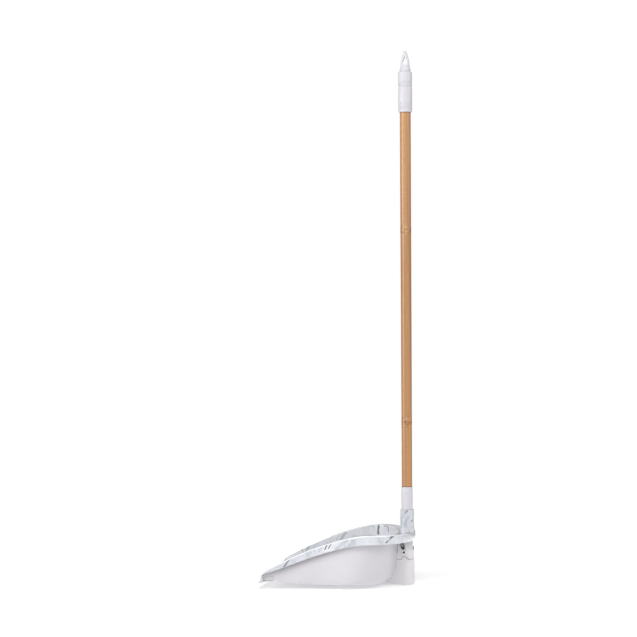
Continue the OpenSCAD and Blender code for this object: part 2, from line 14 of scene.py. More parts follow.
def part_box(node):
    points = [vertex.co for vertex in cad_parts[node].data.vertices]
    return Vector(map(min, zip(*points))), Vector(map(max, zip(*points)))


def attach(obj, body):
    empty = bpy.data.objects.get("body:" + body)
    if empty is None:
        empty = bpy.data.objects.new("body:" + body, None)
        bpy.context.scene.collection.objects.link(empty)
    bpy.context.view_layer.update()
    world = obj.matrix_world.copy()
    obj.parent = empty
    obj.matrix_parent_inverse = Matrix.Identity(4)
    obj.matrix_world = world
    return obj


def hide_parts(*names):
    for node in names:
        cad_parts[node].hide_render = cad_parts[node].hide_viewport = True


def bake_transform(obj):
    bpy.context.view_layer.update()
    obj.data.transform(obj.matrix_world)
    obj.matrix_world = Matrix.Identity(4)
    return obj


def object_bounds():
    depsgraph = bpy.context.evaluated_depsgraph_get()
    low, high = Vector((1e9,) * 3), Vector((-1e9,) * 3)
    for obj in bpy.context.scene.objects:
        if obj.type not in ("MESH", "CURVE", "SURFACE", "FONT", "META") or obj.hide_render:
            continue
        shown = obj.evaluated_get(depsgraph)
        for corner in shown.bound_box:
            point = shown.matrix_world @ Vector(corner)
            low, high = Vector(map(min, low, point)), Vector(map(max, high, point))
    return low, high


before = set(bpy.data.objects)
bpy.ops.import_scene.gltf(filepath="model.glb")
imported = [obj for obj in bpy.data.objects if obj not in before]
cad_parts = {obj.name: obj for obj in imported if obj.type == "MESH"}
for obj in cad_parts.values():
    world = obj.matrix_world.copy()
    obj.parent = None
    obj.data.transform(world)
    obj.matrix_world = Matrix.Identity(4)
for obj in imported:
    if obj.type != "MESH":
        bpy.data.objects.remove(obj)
cad_low, cad_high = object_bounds()

MM = 0.001


# ---------------------------------------------------------------- sizes, in millimetres

def node_box(node):
    """Lowest and highest corner of a CAD node, in millimetres."""
    low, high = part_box(node)
    return low / MM, high / MM


RIM_LOW, RIM_HIGH = node_box("rim_frame")
LIP_LOW, LIP_HIGH = node_box("front_lip")
BRACKET_LOW = node_box("hinge_bracket")[0]
PIN_LOW, PIN_HIGH = node_box("hinge_pin")
GRIP_LOW, GRIP_HIGH = node_box("grip")
LOOP_HIGH = node_box("hanger")[1]

# plan of the pan: straight sides from the mouth to the bend, then a superellipse to the back
HALF_WIDTH = RIM_HIGH.y
X_MOUTH = RIM_LOW.x
X_BACK = cad_high.x / MM
X_BEND = X_BACK - 108
X_SHELL_BACK = X_BACK - 25
OUTLINE_POWER = 2.5
STRAIGHT_SHARE = 0.35
SHELL_INSET = 6.0
WALL = 2.2
FRONT_EASE = 60.0

# rim: highest at X_PEAK, with a skirt along its outer edge and a sunken deck at the back
RIM_PEAK_Z = RIM_HIGH.z
RIM_MOUTH_Z = 29.1
X_PEAK = 60.0
RIM_POWER = 1.55
RIM_BACK_DROP = 3.0
NOSE_DROP = 4.0
NOSE_LENGTH = 8.0
RIM_PLATE = 2.2
RIM_WALL = 2.0
SKIRT_MOUTH = 2.6
SKIRT_TAPER = 4.0
SKIRT_BACK = 16.0
DECK_Z = RIM_PEAK_Z - 4.6
DECK_START = 0.55
DECK_SHARE = 0.25
COLLAR_TOP = DECK_Z + 9.0

# scoop: a flat flange at the mouth, a crowned floor, and corners that widen to the back
FLOOR_MOUTH_Z = 15.2
X_FLANGE = X_MOUTH + 20
FLANGE_STEP = 4.0
CROWN = 6.9
BELLY_X = 16.0
BELLY_RISE = 4.5
BELLY_REACH = 116.0
CORNER_MOUTH = 6.0
CORNER_SIDE = 12.0
CORNER_BACK = 34.0
DRAFT = 4.0

# hinge, the seam between the housings, and the springs
PIN_X = (PIN_LOW.x + PIN_HIGH.x) / 2
PIN_Z = (PIN_LOW.z + PIN_HIGH.z) / 2
SEAM_Z = BRACKET_LOW.z - 0.12
SEAM_STEP = 5.0
COIL_R = 5.0
COIL_TURNS = 5.25
WIRE_D = 1.6
PEG_X = PIN_X - 3.7
PEG_Z = PIN_Z + 11
PEG_R = 2.0
COIL_OUTER_Y = 21.7

# pole
POLE_X = (GRIP_LOW.x + GRIP_HIGH.x) / 2
CANE_NODES = (281.5, 616.0)
CANE_FOOT_Z = 168.4
CANE_TOP_Z = GRIP_LOW.z - 1.5
CANE_R_LOW = 8.95
CANE_R_HIGH = 9.6
LOOP_BASE_Z = GRIP_HIGH.z - 0.85


def smooth(t):
    """Ease from 0 to 1."""
    c = min(1.0, max(0.0, t))
    return c * c * (3 - 2 * c)


def mix(a, b, t):
    """Linear step from a to b."""
    return a + (b - a) * t


def hump(t):
    """A soft bump of height 1 round t = 0."""
    return math.exp(-t * t)


# ---------------------------------------------------------------- outline and heights

def outline(s, half_width, x_end, inset):
    """Half of the plan outline, from the mouth (s = 0) to the back (s = 1), moved inwards."""
    length = x_end - X_BEND
    angle = math.pi / 2 * max(0.0, s - STRAIGHT_SHARE) / (1 - STRAIGHT_SHARE)
    u = math.sin(angle) ** (2 / OUTLINE_POWER)
    v = max(0.0, math.cos(angle)) ** (2 / OUTLINE_POWER)
    nx = u ** (OUTLINE_POWER - 1) / length
    ny = v ** (OUTLINE_POWER - 1) / half_width
    n = math.hypot(nx, ny)
    x = X_BEND + length * u
    if s < STRAIGHT_SHARE:
        x = mix(X_MOUTH, X_BEND, s / STRAIGHT_SHARE)
    return x - inset * nx / n, half_width * v - inset * ny / n


def rim_xy(s, inset):
    """Place on the rim's outer edge, moved inwards."""
    return outline(s, HALF_WIDTH, X_BACK, inset)


def shell_xy(s, inset):
    """Place on the scoop's outer face at its top, moved inwards."""
    return outline(s, HALF_WIDTH - SHELL_INSET, X_SHELL_BACK, inset)


def rise_share(x):
    """How far a place is from the rim's peak (0) to the mouth (1)."""
    return max(0.0, (X_PEAK - x) / (X_PEAK - X_MOUTH))


def back_drop(x):
    """How far the rim drops behind its peak."""
    return RIM_BACK_DROP * max(0.0, (x - X_PEAK) / (X_BACK - X_PEAK)) ** 4


def rim_z(x):
    """Height of the rim's outer edge; its last stretch at the mouth turns down."""
    nose_drop = NOSE_DROP * max(0.0, (X_MOUTH + NOSE_LENGTH - x) / NOSE_LENGTH) ** 2.2
    rise = (RIM_PEAK_Z - RIM_MOUTH_Z) * rise_share(x) ** RIM_POWER
    return RIM_PEAK_Z - rise - back_drop(x) - nose_drop


def skirt_height(x):
    """Height of the outer skirt; its lower edge stays level where the rim drops at the back."""
    f = rise_share(x)
    taper = SKIRT_TAPER * f + (SKIRT_BACK - SKIRT_TAPER - SKIRT_MOUTH) * f ** 6
    return SKIRT_BACK - taper - back_drop(x)


def deck_z(s):
    """The deck sinks below the rim's edge where the rim widens towards the back."""
    edge = rim_z(rim_xy(s, 0)[0])
    return mix(edge, min(edge, DECK_Z), smooth((s - DECK_START) / DECK_SHARE))


def floor_z(x, y):
    """Underside of the scoop's floor."""
    side = HALF_WIDTH - SHELL_INSET - DRAFT - CORNER_SIDE
    lift = CROWN * smooth((x - X_FLANGE) / FRONT_EASE)
    edge = CROWN + BELLY_RISE * ((x - BELLY_X) / BELLY_REACH) ** 2
    belly = edge - lift + lift * (y / side) ** 2
    return mix(FLOOR_MOUTH_Z, belly, smooth((x - X_FLANGE) / FLANGE_STEP))


# ---------------------------------------------------------------- mesh tools

def new_object(name, points, faces):
    """A mesh object from points in millimetres."""
    mesh = bpy.data.meshes.new(name)
    mesh.from_pydata([Vector(p) * MM for p in points], [], faces)
    obj = bpy.data.objects.new(name, mesh)
    bpy.context.scene.collection.objects.link(obj)
    return obj


def edit(obj, change):
    """Runs change on the object's bmesh and writes it back."""
    bm = bmesh.new()
    bm.from_mesh(obj.data)
    change(bm)
    bm.to_mesh(obj.data)
    bm.free()
    obj.data.update()


def close_up(bm):
    """Merges doubled points and turns every face outwards."""
    bmesh.ops.remove_doubles(bm, verts=bm.verts[:], dist=0.002 * MM)
    bmesh.ops.recalc_face_normals(bm, faces=bm.faces[:])


def round_edges(obj, width, limit, segments=3):
    """Rounds every edge that is sharper than limit degrees."""
    def change(bm):
        close_up(bm)
        sharp = [
            e for e in bm.edges
            if e.is_manifold and e.calc_face_angle(0.0) > math.radians(limit)
        ]
        bmesh.ops.bevel(
            bm, geom=sharp, offset=width * MM, segments=segments, profile=0.5,
            affect="EDGES", clamp_overlap=True,
        )
    edit(obj, change)


def shade(obj, limit=40.0):
    """Smooth shading, with creases kept and flat faces kept flat."""
    edit(obj, close_up)
    for polygon in obj.data.polygons:
        polygon.use_smooth = True
    obj.data.set_sharp_from_angle(angle=math.radians(limit))
    flat = obj.modifiers.new("flat faces", "WEIGHTED_NORMAL")
    flat.keep_sharp = True


def boolean(obj, tool, operation):
    """Cuts or joins with another mesh object, which is used up."""
    step = obj.modifiers.new(operation, "BOOLEAN")
    step.operation = operation
    step.solver = "EXACT"
    step.object = tool
    bpy.context.view_layer.update()
    graph = bpy.context.evaluated_depsgraph_get()
    mesh = bpy.data.meshes.new_from_object(obj.evaluated_get(graph))
    mesh.name = obj.name
    obj.modifiers.clear()
    obj.data = mesh
    bpy.data.objects.remove(tool)


def loft(loops, close_ends=True):
    """Points and faces of a surface through closed loops of equal length."""
    count = len(loops[0])
    points = [p for loop in loops for p in loop]
    faces = []
    for i in range(len(loops) - 1):
        for j in range(count):
            a = i * count + j
            b = i * count + (j + 1) % count
            faces.append((a, b, b + count, a + count))
    if close_ends:
        faces.append(tuple(range(count - 1, -1, -1)))
        start = (len(loops) - 1) * count
        faces.append(tuple(range(start, start + count)))
    return points, faces


def revolve(name, profile, centre_x, segments=96, bend=None):
    """Turns a profile of (radius, z) round the pole's axis. bend(angle, z) changes the radius."""
    loops = []
    for radius, z in profile:
        loop = []
        for k in range(segments):
            angle = 2 * math.pi * k / segments
            r = radius + (bend(angle, z) if bend else 0.0)
            loop.append((centre_x + r * math.cos(angle), r * math.sin(angle), z))
        loops.append(loop)
    return new_object(name, *loft(loops))


def fillet(corners, radii, steps=4):
    """Replaces each corner of a closed 3-D polygon with a short curve."""
    out = []
    count = len(corners)
    for i, corner in enumerate(corners):
        before = corners[i - 1] - corner
        after = corners[(i + 1) % count] - corner
        reach = min(radii[i], 0.45 * before.length, 0.45 * after.length)
        start = corner + before.normalized() * reach
        end = corner + after.normalized() * reach
        for k in range(steps + 1):
            t = k / steps
            out.append(start * (1 - t) ** 2 + corner * 2 * t * (1 - t) + end * t ** 2)
    return out


def box_object(name, low, high):
    """A cutting block."""
    xs, ys, zs = zip(low, high)
    points = [(x, y, z) for z in zs for y in ys for x in xs]
    faces = [(0, 2, 3, 1), (4, 5, 7, 6), (0, 1, 5, 4), (2, 6, 7, 3), (0, 4, 6, 2), (1, 3, 7, 5)]
    return new_object(name, points, faces)


def tube(name, path, radius):
    """A round wire along a path, with rounded ends."""
    sides = 14
    dome = 0.6 * radius
    tangents = []
    for i in range(len(path)):
        a = path[max(i - 1, 0)]
        b = path[min(i + 1, len(path) - 1)]
        tangents.append((b - a).normalized())
    normal = tangents[0].orthogonal().normalized()
    loops = []

    def ring(centre, tangent, r):
        """A circle across the path."""
        side = tangent.cross(normal).normalized()
        return [
            centre + r * (math.cos(t) * normal + math.sin(t) * side)
            for t in (2 * math.pi * k / sides for k in range(sides))
        ]

    ends = [math.pi / 2 * k / 4 for k in range(1, 5)]
    for i, (point, tangent) in enumerate(zip(path, tangents)):
        normal = (normal - tangent * normal.dot(tangent)).normalized()
        if i == 0:
            for t in ends:
                back = dome * (1 - math.sin(t))
                loops.append(ring(point - tangent * back, tangent, radius * math.sin(t)))
        else:
            loops.append(ring(point, tangent, radius))
        if i == len(path) - 1:
            for t in reversed(ends[:-1]):
                ahead = dome * (1 - math.sin(t))
                loops.append(ring(point + tangent * ahead, tangent, radius * math.sin(t)))
    return new_object(name, *loft(loops))


def refined(node, name, width):
    """A new piece from a CAD node's shape, with flat faces merged and edges rounded."""
    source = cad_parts[node].data
    points = [v.co / MM for v in source.vertices]
    faces = [tuple(p.vertices) for p in source.polygons]
    obj = new_object(name, points, faces)

    def change(bm):
        close_up(bm)
        bmesh.ops.dissolve_limit(
            bm, angle_limit=math.radians(0.8), verts=bm.verts[:], edges=bm.edges[:]
        )
    edit(obj, change)
    round_edges(obj, width, 35.0)
    shade(obj)
    return obj


def snug(obj):
    """Brings the housing's front edge right up to the scoop's back wall."""
    gap = 0.8
    for vertex in obj.data.vertices:
        front = smooth((X_SHELL_BACK + 1.5 - vertex.co.x / MM) / 0.5)
        vertex.co.x -= gap * MM * front
    return obj


def mark_painted_shade(obj, depth):
    """Writes how much painted shade each point gets, from 0 to 1, for the material."""
    marks = obj.data.attributes.new("painted_shade_amount", "FLOAT", "POINT")
    for vertex, mark in zip(obj.data.vertices, marks.data):
        mark.value = depth(*(vertex.co / MM))


def place(obj, material, body, node, slot):
    """Gives a piece its material and its body (if it rides on one), and hides its CAD node; slot is
    not used.
    """
    obj.data.materials.clear()
    obj.data.materials.append(material)
    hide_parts(node)
    if body:
        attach(obj, body)


def place_refined(node, name, width, material, body, slot):
    """A piece that keeps its CAD node's shape, with edges rounded by width."""
    place(refined(node, name, width), material, body, node, slot)


# ---------------------------------------------------------------- material tools

class Shader:
    """A short way to build a node material."""

    def __init__(self, name):
        self.material = bpy.data.materials.new(name)
        self.material.use_nodes = True
        self.tree = self.material.node_tree
        self.tree.nodes.clear()
        coordinates = self.tree.nodes.new("ShaderNodeTexCoord")
        self.place = coordinates.outputs["Object"]
        self.facing = coordinates.outputs["Normal"]
        self.surface = self.tree.nodes.new("ShaderNodeBsdfPrincipled")
        output = self.tree.nodes.new("ShaderNodeOutputMaterial")
        self.tree.links.new(self.surface.outputs[0], output.inputs["Surface"])

    def feed(self, socket, value):
        """Links a socket, or sets it."""
        if isinstance(value, bpy.types.NodeSocket):
            self.tree.links.new(value, socket)
        else:
            socket.default_value = value

    def node(self, kind, inputs, **settings):
        """Adds a shader node, with its inputs by name or number and its settings."""
        made = self.tree.nodes.new("ShaderNode" + kind)
        for key, value in settings.items():
            setattr(made, key, value)
        for key, value in inputs.items():
            self.feed(made.inputs[key], value)
        return made

    def math(self, operation, a, b=0.0, clamp=False):
        """One step of arithmetic."""
        made = self.node("Math", {0: a, 1: b}, operation=operation, use_clamp=clamp)
        return made.outputs[0]

    def vector(self, operation, a, b=(0, 0, 0), scale=1.0):
        """One step of vector arithmetic."""
        made = self.node("VectorMath", {0: a, 1: b}, operation=operation)
        if operation == "SCALE":
            self.feed(made.inputs["Scale"], scale)
        output = "Value" if operation in ("DOT_PRODUCT", "LENGTH") else "Vector"
        return made.outputs[output]

    def stretched(self, scale=(1, 1, 1), rotation=(0, 0, 0), offset=(0, 0, 0), source=None):
        """The place on the piece, stretched, turned by degrees and moved."""
        turned = tuple(math.radians(r) for r in rotation)
        inputs = {"Vector": source or self.place, "Scale": scale, "Rotation": turned}
        inputs["Location"] = offset
        return self.node("Mapping", inputs).outputs[0]

    def part(self, axis, source=None):
        """One coordinate of the place on the piece, or of another vector."""
        return self.node("SeparateXYZ", {"Vector": source or self.place}).outputs[axis]

    def noise(self, scale, detail, roughness, distortion=0.0, source=None, output="Fac"):
        """Noise whose scale is in waves per metre, or per unit of a stretched source."""
        made = self.node("TexNoise", {
            "Vector": source or self.place, "Scale": scale, "Detail": detail,
            "Roughness": roughness, "Distortion": distortion,
        })
        return made.outputs[output]

    def between(self, value, low, high, out_low=0.0, out_high=1.0):
        """Eases from out_low to out_high as value goes from low to high."""
        made = self.node("MapRange", {
            "Value": value, "From Min": low, "From Max": high,
            "To Min": out_low, "To Max": out_high,
        }, interpolation_type="SMOOTHSTEP")
        return made.outputs[0]

    def apart(self, a, b):
        """How far two values are apart."""
        return self.math("ABSOLUTE", self.math("SUBTRACT", a, b))

    def blend(self, factor, a, b):
        """Colour a, going over to b as factor goes from 0 to 1."""
        made = self.node("Mix", {}, data_type="RGBA", blend_type="MIX")
        self.feed(made.inputs[0], factor)
        self.feed(made.inputs[6], a)
        self.feed(made.inputs[7], b)
        return made.outputs[2]

    def tint(self, tone, mask, strength, over):
        """Lets the colour over in where the mask is."""
        return self.blend(self.math("MULTIPLY", mask, strength), tone, over)

    def bump(self, height, strength, distance, below=None):
        """A bump whose full height is distance, in millimetres, on top of the one below."""
        inputs = {"Height": height, "Strength": strength, "Distance": distance * MM}
        if below:
            inputs["Normal"] = below
        return self.node("Bump", inputs).outputs[0]

    def set(self, **values):
        """Feeds the shader's sockets; underscores stand for spaces."""
        for key, value in values.items():
            self.feed(self.surface.inputs[key.replace("_", " ")], value)
        return self.material


def colour(r, g, b):
    """A display colour from 0 to 255, as linear light."""
    def linear(c):
        """The sRGB curve."""
        c = c / 255
        return c / 12.92 if c <= 0.04045 else ((c + 0.055) / 1.055) ** 2.4
    return (linear(r), linear(g), linear(b), 1.0)


# ---------------------------------------------------------------- materials

MOTTLE = (0.5, 0.49, 0.5, 1.0)
SCUFF = (0.42, 0.41, 0.42, 1.0)
# grey of the painted shade under the rim, in the seam and in front of the housing
PAINTED_SHADE_GREY = colour(128, 124, 128)

FILM_LIGHT = colour(222, 224, 228)
FILM_CLOUD = colour(206, 210, 217)
FILM_PAINTED_SHADE = colour(186, 190, 198)
FILM_PAINTED_LIGHT = colour(238, 240, 244)
FILM_SOFT_VEIN = colour(168, 172, 184)
FILM_DARK_VEIN = colour(46, 49, 60)
# white of the painted highlight on upward faces and the painted light on the collar
PAINTED_LIGHT_WHITE = colour(248, 249, 252)

BAMBOO = colour(178, 127, 82)
BAMBOO_LIGHT = colour(206, 160, 113)
BAMBOO_PATCH = colour(178, 126, 84)
BAMBOO_FOOT = colour(164, 112, 74)
BAMBOO_TOP = colour(226, 172, 120)
FIBRE_DARK = colour(150, 104, 66)
FIBRE_LIGHT = colour(226, 188, 146)
NODE_LINE = colour(104, 68, 42)
NODE_RIDGE = colour(220, 178, 134)
NODE_DARK = colour(138, 86, 50)
NODE_LIGHT = colour(226, 178, 124)
# colour of the painted shade where the cane goes into the ferrule and the grip
END_CONTACT_SHADE = colour(112, 78, 50)
SPECK = colour(96, 62, 40)
LIP_DIRT = colour(176, 172, 170)


def vein(s, place, start, end, width, strength):
    """Mask of a line from start to end that fades out at width; all in millimetres."""
    a = Vector(start) * MM
    b = Vector(end) * MM
    along = b - a
    offset = s.vector("SUBTRACT", place, tuple(a))
    share = s.vector("DOT_PRODUCT", offset, tuple(along / along.length_squared))
    share = s.math("MULTIPLY", share, 1.0, clamp=True)
    nearest = s.vector("SCALE", tuple(along), scale=share)
    distance = s.vector("LENGTH", s.vector("SUBTRACT", offset, nearest))
    return s.between(distance, width * MM, 0.3 * width * MM, 0.0, strength)


def scoop_painted_shade(s):
    """Painted shade where the scoop's painted_shade_amount attribute marks it."""
    marked = s.node("Attribute", {}, attribute_name="painted_shade_amount").outputs["Fac"]
    return s.math("MULTIPLY", marked, 0.4)


def housing_painted_shade(s):
    """Painted shade in the stepped seam between the two housings, and a little up under the rim."""
    flat = s.vector("MULTIPLY", s.place, (1, 0, 1))
    seam = [
        (X_BACK - 60, SEAM_Z), (PIN_X - 4.5, SEAM_Z), (PIN_X - 3, SEAM_Z + SEAM_STEP),
        (PIN_X + 3, SEAM_Z + SEAM_STEP), (PIN_X + 8.5, SEAM_Z), (X_BACK, SEAM_Z),
    ]
    height = s.part("Z")
    # painted shade under the rim's overhang, darker towards the top
    mask = s.between(height, (SEAM_Z + 10) * MM, (DECK_Z - 14) * MM, 0.0, 0.36)
    # painted shade along the seam between the housings
    for (x0, z0), (x1, z1) in zip(seam, seam[1:]):
        line = vein(s, flat, (x0, 0, z0), (x1, 0, z1), 1.0, 0.5)
        mask = s.math("MAXIMUM", mask, line)
    return mask


def moulded_plastic(name, base, rough=0.34, grain=0.05, worn=0.5, shade_painter=None):
    """Injection-moulded polypropylene: faint flow marks, fine grain and light scuffs.

    shade_painter(s) gives the mask where the colour is painted darker as shade.
    """
    s = Shader(name)
    flow = s.noise(9, 3, 0.55, source=s.stretched((1.0, 1.6, 0.6)))
    mottle = s.noise(160, 2, 0.6)
    low = tuple(c * 0.955 for c in base[:3]) + (1.0,)
    high = tuple(min(1.0, c * 1.02) for c in base[:3]) + (1.0,)
    tone = s.blend(s.between(flow, 0.3, 0.7), low, high)
    tone = s.blend(s.between(mottle, 0.35, 0.75, 0.0, 0.05), tone, MOTTLE)
    # hairline scuffs, mostly low down where the pan slides on the floor
    lines = s.noise(60, 5, 0.75, 0.6, source=s.stretched((1.0, 14.0, 9.0), (0, 4, 24)))
    scuff = s.between(lines, 0.64, 0.7)
    height = s.part("Z")
    scuff = s.math("MULTIPLY", scuff, s.between(height, 0.0, 0.045, worn, 0.12 * worn))
    tone = s.tint(tone, scuff, 0.25, SCUFF)
    # painted shade: the colour darkens towards PAINTED_SHADE_GREY where the mask is
    if shade_painter:
        tone = s.blend(shade_painter(s), tone, PAINTED_SHADE_GREY)
    fine = s.noise(1400, 2, 0.6)
    wide = s.noise(26, 2, 0.5)
    normal = s.bump(wide, 0.12, 0.5)
    normal = s.bump(fine, grain, 0.05, normal)
    normal = s.bump(scuff, 0.06, 0.05, normal)
    gloss = s.math("ADD", s.between(flow, 0.25, 0.75, rough - 0.04, rough + 0.05),
                   s.math("MULTIPLY", scuff, 0.18))
    return s.set(Base_Color=tone, Roughness=gloss, Normal=normal, IOR=1.49)


# the print's large veins, placed as the photo shows them: start, end, reach and strength
VEINS = [
    # far side of the rim
    ((54.1, 108.0, 93.0), (53.4, 108.2, 77.0), 3.1, 1.0),
    ((65.5, 101.6, 90.0), (68.5, 99.2, 93.2), 1.3, 0.9),
    ((68.5, 99.2, 93.2), (71.5, 96.5, 90.4), 1.3, 0.8),
    ((71.5, 96.5, 90.4), (73.3, 94.9, 81.0), 1.4, 0.8),
    ((78.0, 92.0, 93.0), (84.4, 83.5, 89.0), 2.0, 0.9),
    ((77.0, 91.3, 92.0), (78.2, 90.1, 83.0), 1.1, 0.6),
    ((-6.0, 113.1, 77.0), (-15.6, 113.1, 65.0), 3.6, 0.36),
    ((-71.0, 113.1, 54.5), (-77.5, 113.1, 46.0), 2.4, 0.5),
    # near side of the rim
    ((106.0, -89.8, 93.0), (91.1, -104.6, 80.5), 1.5, 0.95),
    ((101.6, -95.0, 91.2), (98.6, -98.2, 88.6), 2.4, 0.9),
    ((99.6, -97.2, 88.0), (97.8, -99.0, 87.6), 2.2, 0.8),
    ((-6.7, -123.5, 78.6), (-11.2, -123.5, 70.6), 1.5, 0.95),
    ((-0.5, -123.5, 78.8), (-5.0, -123.5, 71.6), 1.4, 0.9),
    ((-17.0, -123.5, 74.0), (-22.0, -123.5, 66.0), 2.2, 0.25),
    ((-72.9, -123.5, 51.8), (-81.5, -123.5, 40.0), 1.9, 0.75),
    ((26.0, -123.5, 85.4), (6.0, -123.5, 68.4), 4.6, 0.26),
    ((38.0, -123.2, 84.0), (22.0, -123.4, 71.0), 3.6, 0.18),
    ((117.0, -72.0, 91.0), (124.6, -48.7, 83.0), 1.4, 0.4),
    # socket
    ((118.0, -11.5, 127.6), (115.4, -11.3, 123.2), 1.8, 0.8),
    ((115.4, -11.3, 123.2), (110.2, -9.7, 114.0), 1.3, 0.16),
    ((127.2, -4.6, 111.0), (124.6, -8.0, 108.6), 2.4, 0.6),
    ((119.6, -11.2, 117.0), (111.8, -10.6, 101.5), 4.6, 0.12),
]


def marble_print(name, veins, painted_light_below=0.0):
    """White marble film under a clear gloss coat: grey clouds, soft veins and sharp dark ones.

    Upward faces are painted white as a highlight, and below painted_light_below the colour is
    painted lighter, as light thrown up from the rim.
    """
    s = Shader(name)
    # a fine wobble bends every vein, and a slow drift bends the clouds too
    wobble = s.noise(70, 3, 0.6, output="Color")
    wobble = s.vector("SCALE", s.vector("SUBTRACT", wobble, (0.5, 0.5, 0.5)), scale=0.0042)
    place = s.vector("ADD", s.place, wobble)
    drift = s.noise(13, 2, 0.5, output="Color")
    drift = s.vector("SCALE", s.vector("SUBTRACT", drift, (0.5, 0.5, 0.5)), scale=0.05)
    bent = s.vector("ADD", place, drift)
    slanted = s.stretched((34, 22, 16), (0, 42, 10), source=bent)
    cloud = s.noise(1.0, 4, 0.55, source=slanted)
    tone = s.blend(s.between(cloud, 0.35, 0.7), FILM_LIGHT, FILM_CLOUD)
    # painted shade greys the near side towards the mouth, and painted light whitens it towards the
    # back
    near = s.between(s.part("Y"), 0.0, -0.05)
    grey = s.math("MULTIPLY", near, s.between(s.part("X"), 0.01, -0.08))
    tone = s.tint(tone, grey, 0.75, FILM_PAINTED_SHADE)
    # painted light on the near side towards the back
    pale = s.math("MULTIPLY", near, s.between(s.part("X"), 0.05, 0.09))
    tone = s.tint(tone, pale, 0.2, FILM_PAINTED_LIGHT)
    # soft grey veins along the ridges of a stretched noise
    ridge = s.noise(1.0, 3, 0.5, source=s.stretched((46, 26, 20), (0, 40, 24), source=bent))
    ridge = s.apart(ridge, 0.5)
    patch = s.noise(24, 2, 0.5, source=s.stretched(offset=(0.3, 0.1, 0.7)))
    soft = s.math("MULTIPLY", s.between(ridge, 0.05, 0.0), s.between(patch, 0.45, 0.62))
    tone = s.tint(tone, soft, 0.55, FILM_SOFT_VEIN)
    # sharp dark veins, broken into short lengths
    crack = s.noise(1.0, 2, 0.45, source=s.stretched((30, 20, 17), (8, 52, 0), (1, 2, 3), bent))
    crack = s.apart(crack, 0.5)
    gate = s.noise(30, 2, 0.5, source=s.stretched(offset=(0.9, 0.4, 0.2)))
    dark = s.math("MULTIPLY", s.between(crack, 0.012, 0.0), s.between(gate, 0.58, 0.66))
    for start, end, width, strength in veins:
        dark = s.math("MAXIMUM", dark, vein(s, place, start, end, width, strength))
    tone = s.tint(tone, dark, 0.9, FILM_DARK_VEIN)
    # painted highlight on upward faces and painted light low on the collar, both towards white
    up = s.part("Z", s.facing)
    low = s.between(s.part("Z"), (painted_light_below + 0.4) * MM, painted_light_below * MM)
    painted_white = s.math("MAXIMUM", s.between(up, 0.2, 0.5, 0.0, 0.9), s.math("MULTIPLY", low, 0.2))
    tone = s.blend(painted_white, tone, PAINTED_LIGHT_WHITE)
    fine = s.noise(900, 2, 0.6)
    normal = s.bump(fine, 0.03, 0.04)
    gloss = s.between(cloud, 0.3, 0.7, 0.26, 0.34)
    return s.set(Base_Color=tone, Roughness=gloss, Normal=normal, IOR=1.49,
                 Coat_Weight=1.0, Coat_Roughness=0.14)


def bamboo(name):
    """Lacquered bamboo: long fibres, tonal streaks, and darker scars at the nodes."""
    s = Shader(name)
    axis = (-POLE_X * MM, 0.0, 0.0)
    centred = s.vector("ADD", s.place, axis)
    long_fibre = s.stretched((520, 520, 5), source=centred)
    fibre = s.noise(1.0, 4, 0.65, source=long_fibre)
    streak = s.noise(1.0, 3, 0.6, source=s.stretched((150, 150, 2.2), source=centred))
    patch = s.noise(1.0, 3, 0.55, source=s.stretched((50, 50, 6), source=centred))
    tone = s.blend(s.between(streak, 0.3, 0.72), BAMBOO, BAMBOO_LIGHT)
    tone = s.blend(s.between(patch, 0.4, 0.75, 0.0, 0.5), tone, BAMBOO_PATCH)
    tone = s.blend(s.between(fibre, 0.52, 0.72, 0.0, 0.4), tone, FIBRE_DARK)
    tone = s.blend(s.between(fibre, 0.42, 0.26, 0.0, 0.3), tone, FIBRE_LIGHT)
    # darker towards the foot and more golden towards the grip
    height = s.part("Z", centred)
    tone = s.blend(s.between(height, 0.95, 0.25, 0.0, 0.36), tone, BAMBOO_FOOT)
    tone = s.blend(s.between(height, 0.45, 0.95, 0.0, 0.5), tone, BAMBOO_TOP)
    ragged = s.noise(1.0, 3, 0.6, source=s.stretched((170, 170, 60), source=centred))
    ragged = s.math("SUBTRACT", ragged, 0.5)
    spots = s.noise(1.0, 3, 0.6, source=s.stretched((260, 260, 230), source=centred))
    spots = s.math("SUBTRACT", spots, 0.5)
    for node_z in CANE_NODES:
        # a dark line, a pale ridge above it, and blots on both sides
        away = s.math("SUBTRACT", height, node_z * MM)
        uneven = s.math("ABSOLUTE", s.math("ADD", away, s.math("MULTIPLY", ragged, 4 * MM)))
        line = s.between(uneven, 1.4 * MM, 0.5 * MM)
        tone = s.tint(tone, line, 0.4, NODE_LINE)
        ridge = s.between(s.apart(away, 2.2 * MM), 1.3 * MM, 0.6 * MM)
        tone = s.tint(tone, ridge, 0.2, NODE_RIDGE)
        around = s.between(uneven, 12 * MM, 6 * MM)
        blot = s.math("MULTIPLY", around, s.between(spots, -0.01, 0.08))
        tone = s.tint(tone, blot, 0.62, NODE_DARK)
        blot = s.math("MULTIPLY", around, s.between(spots, -0.01, -0.1))
        tone = s.tint(tone, blot, 0.5, NODE_LIGHT)
    # painted shade where the cane goes into the ferrule and the grip
    for end_z in (CANE_FOOT_Z, CANE_TOP_Z):
        stain_and_shade = s.between(s.apart(height, end_z * MM), 2.2 * MM, 0.6 * MM, 0.0, 0.55)
        tone = s.blend(stain_and_shade, tone, END_CONTACT_SHADE)
    speck = s.noise(1.0, 2, 0.6, source=s.stretched((900, 900, 260), source=centred))
    speck = s.between(speck, 0.72, 0.78)
    tone = s.tint(tone, speck, 0.45, SPECK)
    normal = s.bump(fibre, 0.25, 0.12)
    gloss = s.between(fibre, 0.3, 0.7, 0.32, 0.46)
    return s.set(Base_Color=tone, Roughness=gloss, Normal=normal, Coat_Weight=0.22,
                 Coat_Roughness=0.2)


